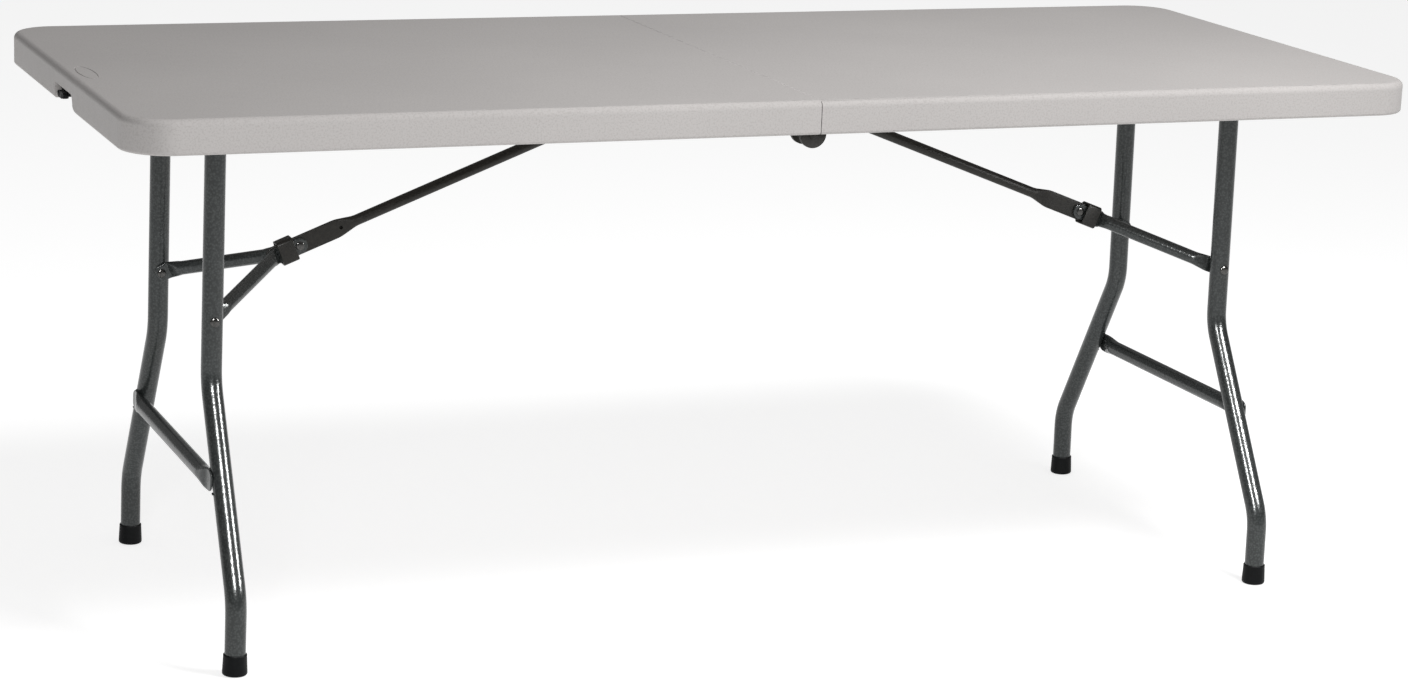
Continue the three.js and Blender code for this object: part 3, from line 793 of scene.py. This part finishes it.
def build_hinge_leaf(side, name, edge):
    centre_y = RAIL_Y + SIDES[side]["stagger"]
    parts = []
    for low, high in ((-17, -14), (14, 17)):
        ear = mesh_object("ear", prism(leaf_outline(), low, high, in_xz))
        subtract(ear, cross_drill(4.2, 30, (0, 0, HINGE_Z), 28))
        soften(ear, 0.6, 2)
        parts.append(ear)
    parts.append(rounded_block("web", (-24, -14), (-14.4, 14.4), (RAIL_TOP - 3, RAIL_TOP), 0.5, 2))
    leaf = merged(f"{side}_hinge_plate_{name}", parts)
    turn = SIDES[side]["turn"] @ Matrix.Translation((0, edge * centre_y, 0))
    place(leaf, turn)
    finish_piece(leaf, "dark_steel", f"{side}_half", f"{side}_hinge_leaf_{name}")

    heads = []
    for x in (-96, -66, -38):
        for facing in (-1, 1):
            head = mesh_object("head", rivet(2.0, 0.3, 4.6, 1.8))
            out = Matrix.Rotation(-facing * math.pi / 2, 4, "X")
            heads.append(place(head, turn @ Matrix.Translation((x, facing * 16.8, 716)) @ out))
    group = merged(f"{side}_hinge_rivets_{name}", heads)
    finish_piece(group, "dark_steel", f"{side}_half")


def build_hinge_pin(name, edge):
    pin = mesh_object(f"{name}_hinge_pin", rivet(4.0, 40.0, 6.0, 2.5))
    profile = [(0, 0.4), (5.6, 0.4), (6, 0.8), (6, 1.5), (5.6, 1.9), (0, 1.9)]
    both = merged(f"{name}_hinge_pin", [pin, mesh_object("collar", revolve(profile))])
    place(both, quarter_turn((0, edge * (RAIL_Y - 21), HINGE_Z), "X", -edge))
    finish_piece(both, "dark_steel", "left_half", f"hinge_pin_{name}")


def build_brace_bracket(side):
    turn = SIDES[side]["turn"]
    ceiling = CHANNEL_TOP - 0.3
    outline = [(-BRACE_PIVOT_X + 9, ceiling), (-BRACE_PIVOT_X - 22, ceiling)]
    outline += arc((-BRACE_PIVOT_X, BRACE_PIVOT_Z), 9, 180, 360, 20)
    parts = []
    for low, high in ((-5.8, -3.3), (3.3, 5.8)):
        ear = mesh_object("ear", prism(outline, low, high, in_xz))
        subtract(ear, cross_drill(3.3, 30, (-BRACE_PIVOT_X, 0, BRACE_PIVOT_Z), 24))
        soften(ear, 0.5, 2)
        parts.append(ear)
    span = (-BRACE_PIVOT_X - 34, -BRACE_PIVOT_X + 9)
    parts.append(rounded_block("plate", span, (-17, 17), (ceiling - 2.5, ceiling), 0.8, 2))
    bracket = merged(f"{side}_brace_mount", parts)
    place(bracket, turn)
    finish_piece(bracket, "dark_steel", f"{side}_half", f"{side}_brace_bracket")

    pin = mesh_object(f"{side}_brace_top_rivet", rivet(3.0, 12.2, 5.0, 2.0))
    place(pin, turn @ quarter_turn((-BRACE_PIVOT_X, -6.1, BRACE_PIVOT_Z), "X", -1))
    finish_piece(pin, "rivet_steel", f"{side}_half", f"{side}_brace_pin")

    screws = []
    for x in (-BRACE_PIVOT_X - 28, -BRACE_PIVOT_X + 3):
        for y in (-11.5, 11.5):
            spot = turn @ Matrix.Translation((x, y, ceiling - 2.5))
            screws.append(place(copy_of(SCREW, "screw"), spot @ Matrix.Scale(0.85, 4)))
    group = merged(f"{side}_bracket_screws", screws)
    finish_piece(group, "rivet_steel", f"{side}_half")


# ---- Leg frames ----

def leg_frame(side):
    """From a leg frame's own axes, which hang from its pivot, to the table's."""
    hang = Matrix.Translation((-LEG_PIVOT_X, 0, LEG_PIVOT_Z)) @ Matrix.Rotation(LEG_LEAN, 4, "Y")
    return SIDES[side]["turn"] @ hang


def leg_reach():
    """From the pivot to the soles, so that the leaning feet just touch the floor."""
    sole_radius = FOOT_RADIUS - 3
    return (LEG_PIVOT_Z - sole_radius * math.sin(LEG_LEAN)) / math.cos(LEG_LEAN)


def weld_bead(name, points, radius):
    """A slightly lumpy bead along a line of points."""
    rings = []
    for i, point in enumerate(points):
        along = (points[min(i + 1, len(points) - 1)] - points[max(i - 1, 0)]).normalized()
        lump = 1 + 0.22 * noise.noise(point * 0.31) + 0.12 * math.sin(i * 1.9)
        taper = min(1.0, 0.45 + 0.25 * min(i, len(points) - 1 - i))
        rings.append(ring_about(point, along, radius * lump * taper, 10, thin=Vector((0.3, 0.5, 0.8))))
    return mesh_object(name, loft(rings))


def build_leg(side, name, edge):
    turn = leg_frame(side)
    body = f"{side}_legs"
    corners = [
        (edge * LEG_TOP_Y, 0),
        (edge * LEG_TOP_Y, -UPPER_BEND),
        (edge * LEG_FOOT_Y, -LOWER_BEND),
        (edge * LEG_FOOT_Y, -leg_reach() + 4.3),
    ]
    leg = mesh_object(f"{side}_leg_tube_{name}", tube(bent_line(corners, BEND_RADIUS), LEG_RADIUS))
    subtract(leg, cross_drill(PIVOT_TUBE_RADIUS + 0.05, 400, (0, 0, 0), 64))
    place(leg, turn)
    finish_piece(leg, "coated_steel", body, f"{side}_leg_{name}")

    beads = []
    for facing in (-1, 1):
        points = []
        for step in range(-12, 13):
            angle = math.radians(step * 3.6)
            x = LEG_RADIUS * math.sin(angle)
            y = edge * LEG_TOP_Y + facing * (LEG_RADIUS * math.cos(angle) + 0.6)
            points.append(Vector((x, y, -math.sqrt(max(PIVOT_TUBE_RADIUS ** 2 - x * x, 0)) - 0.4)))
        beads.append(weld_bead("bead", points, 2.0))
    welds = merged(f"{side}_leg_weld_{name}", beads)
    place(welds, turn)
    finish_piece(welds, "coated_steel", body)

    cap = mesh_object(f"{side}_foot_{name}", revolve(foot_profile(), 56))
    place(cap, turn @ Matrix.Translation((0, edge * LEG_FOOT_Y, -leg_reach())))
    finish_piece(cap, "black_plastic", body, f"{side}_foot_cap_{name}")

    head = mesh_object(f"{side}_leg_rivet_head_{name}", rivet(3.9, 27.6, 6.5, 2.6))
    seat = Matrix.Translation((0, edge * (LEG_TOP_Y - 13.4), -BRACE_RIVET_DOWN))
    place(head, turn @ seat @ Matrix.Rotation(-edge * math.pi / 2, 4, "X"))
    finish_piece(head, "rivet_steel", body, f"{side}_leg_rivet_{name}")


def foot_profile():
    """A cup with a ringed sole, a rounded lower edge, a slight flare and a soft lip."""
    bore = LEG_RADIUS + 0.2
    profile = [(0, 0.5), (3.0, 0.5)]
    for ring in (4.0, 7.0, 10.0):
        profile += [(ring, 0), (ring + 1.6, 0), (ring + 2.0, 0.5), (ring + 2.9, 0.5)]
    profile += [(13.3, 0)]
    profile += [(r, z) for r, z in arc((FOOT_RADIUS - 3, 3), 3, -86, 0, 6)]
    profile += [(FOOT_RADIUS - 0.15, 7), (FOOT_RADIUS - 1.0, FOOT_HEIGHT - 2.2)]
    profile += [(FOOT_RADIUS - 0.9, FOOT_HEIGHT - 1.4), (FOOT_RADIUS - 1.1, FOOT_HEIGHT - 0.5)]
    profile += [(FOOT_RADIUS - 1.6, FOOT_HEIGHT), (bore + 0.3, FOOT_HEIGHT), (bore, FOOT_HEIGHT - 0.4)]
    profile += [(bore, 4), (0, 4)]
    return profile


def build_frame_bars(side):
    turn = leg_frame(side)
    body = f"{side}_legs"
    line = [(Vector((0, y, 0)), Y_AXIS) for y in (-335, -334.4, 334.4, 335)]
    rings = [
        ring_about(point, along, PIVOT_TUBE_RADIUS - (0.6 if abs(point.y) > 334.9 else 0), 40)
        for point, along in line
    ]
    pivot = mesh_object(f"{side}_pivot_bar", loft(rings))
    place(pivot, turn)
    finish_piece(pivot, "coated_steel", body, f"{side}_pivot_tube")

    tab_out = LEG_RADIUS + 0.3 + 1.3
    half = [
        (222, tab_out, 8, 1.3, 6),
        (218, tab_out, 13.5, 1.3, 6),
        (203, tab_out, 14.5, 1.3, 6),
        (188, 15, 13, 7, 2.6),
        (172, CROSSBAR_OUT, CROSSBAR_RADIUS, CROSSBAR_RADIUS, 2),
    ]
    both = half + [(-y, *rest) for y, *rest in reversed(half)]
    stations = [Station((-out, y, -CROSSBAR_DOWN), w, t, q) for y, out, w, t, q in both]
    bar = mesh_object(f"{side}_lower_bar", formed_bar(stations, X_AXIS, 5))
    place(bar, turn)
    finish_piece(bar, "coated_steel", body, f"{side}_crossbar")

    beads = []
    slope = (LEG_FOOT_Y - LEG_TOP_Y) / (LOWER_BEND - UPPER_BEND)
    leg_line_y = LEG_TOP_Y + slope * (CROSSBAR_DOWN - UPPER_BEND)
    for edge in (-1, 1):
        for rise in (-1, 1):
            points = []
            for step in range(-7, 3):
                across = step * 1.2
                y = leg_line_y + across - rise * slope * 14.4
                x = -math.sqrt(LEG_RADIUS ** 2 - across ** 2) - 0.5
                points.append(Vector((x, edge * y, -CROSSBAR_DOWN + rise * 14.4)))
            beads.append(weld_bead("bead", points, 1.5))
    welds = merged(f"{side}_crossbar_welds", beads)
    place(welds, turn)
    finish_piece(welds, "coated_steel", body)


# ---- Braces ----

def brace_layout():
    """The brace's direction and its two lengths: the knee sits where the brace folds flat."""
    top = Vector((-BRACE_PIVOT_X, BRACE_PIVOT_Z))

    def rivet_at(fold):
        heading = -math.pi / 2 - LEG_LEAN + fold
        arm = Vector((math.cos(heading), math.sin(heading))) * BRACE_RIVET_DOWN
        return Vector((-LEG_PIVOT_X, LEG_PIVOT_Z)) + arm

    opened = (rivet_at(0) - top).length
    folded = (rivet_at(LEG_FOLD) - top).length
    strut_length = (opened - folded) / 2
    down = (rivet_at(0) - top).normalized()
    return top, down, opened - strut_length, strut_length


BRACE_TOP, BRACE_LINE, ROD_LENGTH, STRUT_LENGTH = brace_layout()


def brace_frame(side):
    """From a brace's own axes, with the knee at the origin and the leg towards +x, to the table's."""
    knee = BRACE_TOP + BRACE_LINE * ROD_LENGTH
    tilt = Matrix.Rotation(-math.atan2(BRACE_LINE.y, BRACE_LINE.x), 4, "Y")
    return SIDES[side]["turn"] @ Matrix.Translation((knee.x, 0, knee.y)) @ tilt


def build_upper_link(side):
    turn = brace_frame(side)
    top = -ROD_LENGTH
    stations = [
        Station((top - 9, 0, 0), 5, 2.4, 6),
        Station((top - 5, 0, 0), 8.5, 2.4, 6),
        Station((top + 22, 0, 0), 9.5, 2.4, 6),
        Station((top + 44, 0, 0), BRACE_ROD_RADIUS, BRACE_ROD_RADIUS, 2),
        Station((-82, 0, 0), BRACE_ROD_RADIUS, BRACE_ROD_RADIUS, 2),
        Station((-57, 0, 0), 13, 2.6, 6),
        Station((36, 0, 0), 13, 2.4, 6),
        Station((43, 0, 0), 11, 2.4, 6),
        Station((46, 0, 0), 7, 2.4, 6),
    ]
    link = mesh_object(f"{side}_upper_brace_bar", formed_bar(stations, Y_AXIS, 5))
    hole = mesh_object("hole", revolve([(0, -0.9), (2.5, -0.9), (2.5, 10), (0, 10)], 24))
    place(hole, quarter_turn((-62, 0, 0), "X"))
    subtract(link, hole)
    place(link, turn)
    finish_piece(link, "dark_steel", f"{side}_upper_brace", f"{side}_upper_link")

    parts = [
        place(mesh_object("head", rivet(4.0, 7.0, 6.0, 1.7)), Matrix.Rotation(facing * math.pi / 2, 4, "X"))
        for facing in (-1, 1)
    ]
    knee = merged(f"{side}_knee_rivet_heads", parts)
    place(knee, turn)
    finish_piece(knee, "rivet_steel", f"{side}_upper_brace", f"{side}_knee_rivet")


def rounded_outline(half_a, half_b, radius, steps=5):
    outline = arc((half_a - radius, half_b - radius), radius, 0, 90, steps)
    outline += arc((-half_a + radius, half_b - radius), radius, 90, 180, steps)
    outline += arc((-half_a + radius, -half_b + radius), radius, 180, 270, steps)
    outline += arc((half_a - radius, -half_b + radius), radius, 270, 360, steps)
    return outline


def build_lock_ring(side):
    """A short rectangular sleeve with rounded corners; its ends are slightly rolled over."""
    outer = rounded_outline(11.7, 16.5, 4.5)
    inner = rounded_outline(9.3, 14.0, 2.4)
    start, end, roll = 7.0, 30.0, 0.8
    rings = []
    for x, share in ((start, 0.55), (start + roll * 0.4, 0.15), (start + roll, 0), (end - roll, 0),
                     (end - roll * 0.4, 0.15), (end, 0.55)):
        rings.append([Vector((x, a * (1 - share * 0.06), b * (1 - share * 0.045))) for a, b in outer])
    rings += [[Vector((x, a, b)) for a, b in inner] for x in (end, start)]
    rings.append(rings[0])
    bm = loft(rings, closed=False)
    bmesh.ops.remove_doubles(bm, verts=bm.verts, dist=1e-4)
    ring = mesh_object(f"{side}_lock_sleeve", bm)
    place(ring, brace_frame(side))
    finish_piece(ring, "dark_steel", f"{side}_lock_ring", f"{side}_lock_ring")


def build_strut(side, name, edge):
    turn = brace_frame(side)
    body = f"{side}_lower_brace"
    end = STRUT_LENGTH
    stations = [
        Station((-10.5, edge * 4.7, 0), 4, 2, 6),
        Station((-8, edge * 4.7, 0), 8, 2, 6),
        Station((-2, edge * 4.7, 0), 11, 2, 6),
        Station((34, edge * 4.7, 0), 11, 2, 6),
        Station((46, edge * 16, 0), STRUT_RADIUS, STRUT_RADIUS, 2),
        Station((end - 26, edge * 120, 0), STRUT_RADIUS, STRUT_RADIUS, 2),
        Station((end - 12, edge * STRUT_TAB_Y, 0), 11.5, 2, 6),
        Station((end + 3, edge * STRUT_TAB_Y, 0), 11, 2, 6),
        Station((end + 6.5, edge * STRUT_TAB_Y, 0), 8, 2, 6),
        Station((end + 8, edge * STRUT_TAB_Y, 0), 4, 2, 6),
    ]
    strut = mesh_object(f"{side}_brace_strut_{name}", formed_bar(stations, Y_AXIS, 3))
    place(strut, turn)
    finish_piece(strut, "coated_steel", body, f"{side}_strut_{name}")

    head = mesh_object(f"{side}_strut_rivet_head_{name}", rivet(3.9, 3.8, 6.0, 2.4))
    place(head, turn @ quarter_turn((end, edge * (STRUT_TAB_Y + 1.8), 0), "X", edge))
    finish_piece(head, "rivet_steel", body, f"{side}_strut_rivet_{name}")


# ---- End latch ----

def latch_block(wall_y):
    """A black block that stands out from the notch's wall, with an upright flange round it."""
    span = (30, wall_y - 0.3)
    blocks = []
    for name, out, half_height in (("body", 15, 3.7), ("flange", 5.6, 6.2)):
        rise = (LATCH_Z - half_height, LATCH_Z + half_height)
        blocks.append(rounded_block(name, (LATCH_FACE_X, LATCH_FACE_X + out), span, rise, 1.2))
    return blocks


def build_latch():
    finish_piece(merged("latch_block", latch_block(NOTCH_WALL_Y)), "black_plastic", "left_half", "latch_bar")

    reach = 2 * (LATCH_Z - HINGE_Z)
    outline = [(0, 4.6), (-reach - 3, 4.6)]
    outline += arc((-reach - 3, 0.6), 4, 90, 270, 10)
    outline += arc((-reach, 0), 3, 252, 18, 14)
    outline += [(-reach + 6, -4.6), (0, -4.6)]
    outline += arc((0, 0), 4.6, -90, 90, 12)[1:-1]
    hook = mesh_object("latch_lever", prism(outline, LATCH_FACE_X - 6.3, LATCH_FACE_X - 0.3, in_yz))
    place(hook, Matrix.Translation((0, LATCH_PIVOT_Y, LATCH_Z)))
    soften(hook, 0.5, 2)
    finish_piece(hook, "black_plastic", "latch_hook", "latch_hook")

    pin = mesh_object("latch_screw", rivet(2.2, 16.0, 3.8, 1.6))
    place(pin, quarter_turn((LATCH_FACE_X + 9.5, LATCH_PIVOT_Y, LATCH_Z), "Y", -1))
    finish_piece(pin, "rivet_steel", "left_half", "latch_pin")

    peg_profile = [(0, -5), (2.6, -5), (2.6, 6.4), (2.0, 7), (0, 7)]
    peg = mesh_object("peg", revolve(peg_profile, 28))
    place(peg, quarter_turn((LATCH_FACE_X, LATCH_PIVOT_Y, LATCH_Z), "Y", -1))
    keeper = merged("latch_catch", latch_block(NOTCH_FAR_WALL_Y) + [peg])
    place(keeper, Matrix.Diagonal((-1, 1, 1, 1)))
    keeper.data.flip_normals()
    finish_piece(keeper, "black_plastic", "right_half", "latch_keeper")


# ---- Assembly ----

add_camera()
add_stage()
SCREW = pan_screw("screw")
build_panels()
for side_name, side_data in SIDES.items():
    build_brace_bracket(side_name)
    build_frame_bars(side_name)
    build_upper_link(side_name)
    build_lock_ring(side_name)
    for edge_name, edge_sign in side_data["edges"].items():
        build_rail(side_name, edge_name, edge_sign)
        build_hinge_leaf(side_name, edge_name, edge_sign)
        build_leg(side_name, edge_name, edge_sign)
        build_strut(side_name, edge_name, edge_sign)
for edge_name, edge_sign in (("front", -1), ("back", 1)):
    build_hinge_pin(edge_name, edge_sign)
build_latch()
bpy.data.objects.remove(SCREW)
